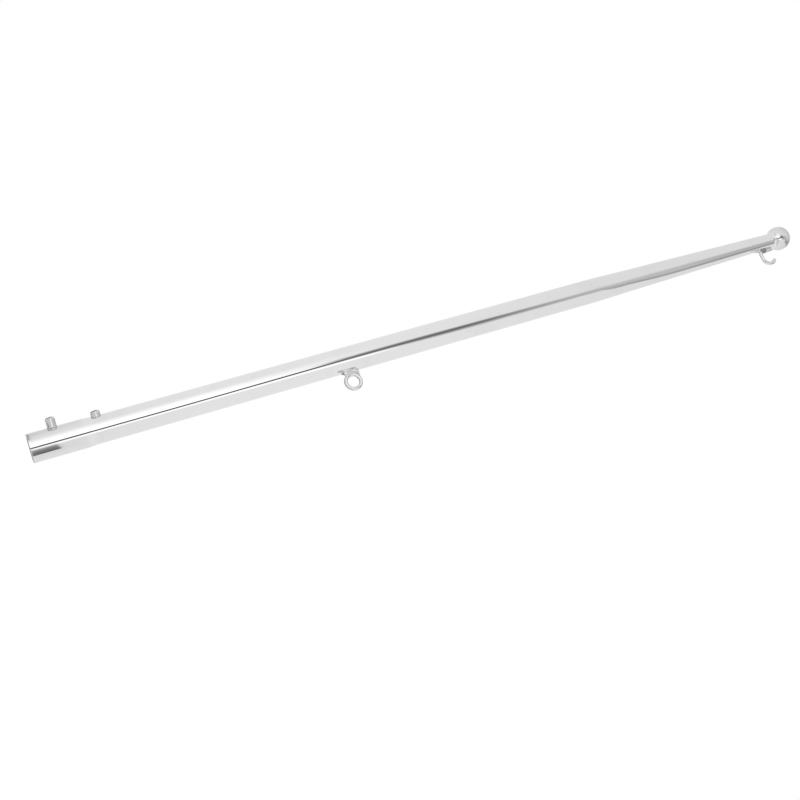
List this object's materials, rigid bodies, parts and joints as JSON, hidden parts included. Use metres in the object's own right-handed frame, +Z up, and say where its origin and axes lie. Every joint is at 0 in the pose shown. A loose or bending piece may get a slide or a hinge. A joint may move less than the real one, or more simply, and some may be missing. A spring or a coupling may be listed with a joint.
{
  "type": "flagpole",
  "caption": "Polished steel boat flagpole: tapered tube with a socket end, ball tip, flag eye, open hook and clamping set screws.",
  "frame": {"origin": "centre of the socket's mouth, in the plane of the pole's lower end", "axes": "+Z up the pole to the ball; +X towards the flag eye and the hook; the set screws point 210 degrees round from +X"},
  "size_m": [0.0522, 0.0269, 0.83],
  "materials": {
    "polished_steel": "mirror-polished stainless steel",
    "weld_steel": "brushed weld bead, dull silver",
    "screw_steel": "bright stainless steel"
  },
  "bodies": {
    "pole": {"pole_tube": "polished_steel", "ball_finial": "polished_steel", "finial_weld": "weld_steel", "flag_eye": "polished_steel", "eye_weld": "weld_steel", "flag_hook": "polished_steel", "hook_weld": "weld_steel"},
    "lower_screw": {"lower_set_screw": "screw_steel"},
    "upper_screw": {"upper_set_screw": "screw_steel"}
  },
  "joints": [
    {"name": "lower_screw_travel", "type": "slide", "parent": "pole", "child": "lower_screw", "axis": [0.866, 0.5, 0], "range_m": [0, 0.008]},
    {"name": "upper_screw_travel", "type": "slide", "parent": "pole", "child": "upper_screw", "axis": [0.866, 0.5, 0], "range_m": [-0.004, 0.0042]}
  ]
}
